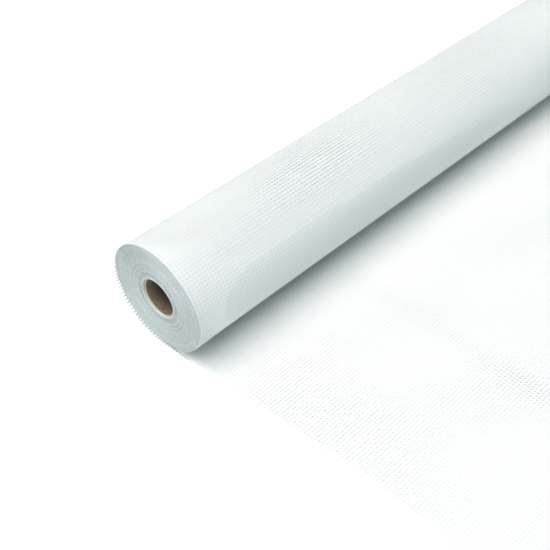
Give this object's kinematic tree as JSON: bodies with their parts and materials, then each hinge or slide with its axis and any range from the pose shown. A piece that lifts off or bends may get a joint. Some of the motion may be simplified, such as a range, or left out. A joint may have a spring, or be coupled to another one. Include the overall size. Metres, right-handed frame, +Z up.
{
  "type": "roll of fiberglass mesh",
  "caption": "Roll of white fiberglass reinforcing mesh wound on a paper core, lying on its side with the end of its web unrolled flat along the floor.",
  "frame": {"origin": "on the floor, under the middle of the box round the roll and its unrolled leaf", "axes": "+X along the roll's axis, away from the leaf's slanted edge; the leaf lies towards -Y; +Z up"},
  "size_m": [1, 0.677, 0.154],
  "materials": {
    "glass_mesh": "matte coated glass yarn",
    "paperboard": "matte"
  },
  "bodies": {
    "root": {"mesh_roll": "glass_mesh", "core_tube": "paperboard"}
  },
  "joints": []
}
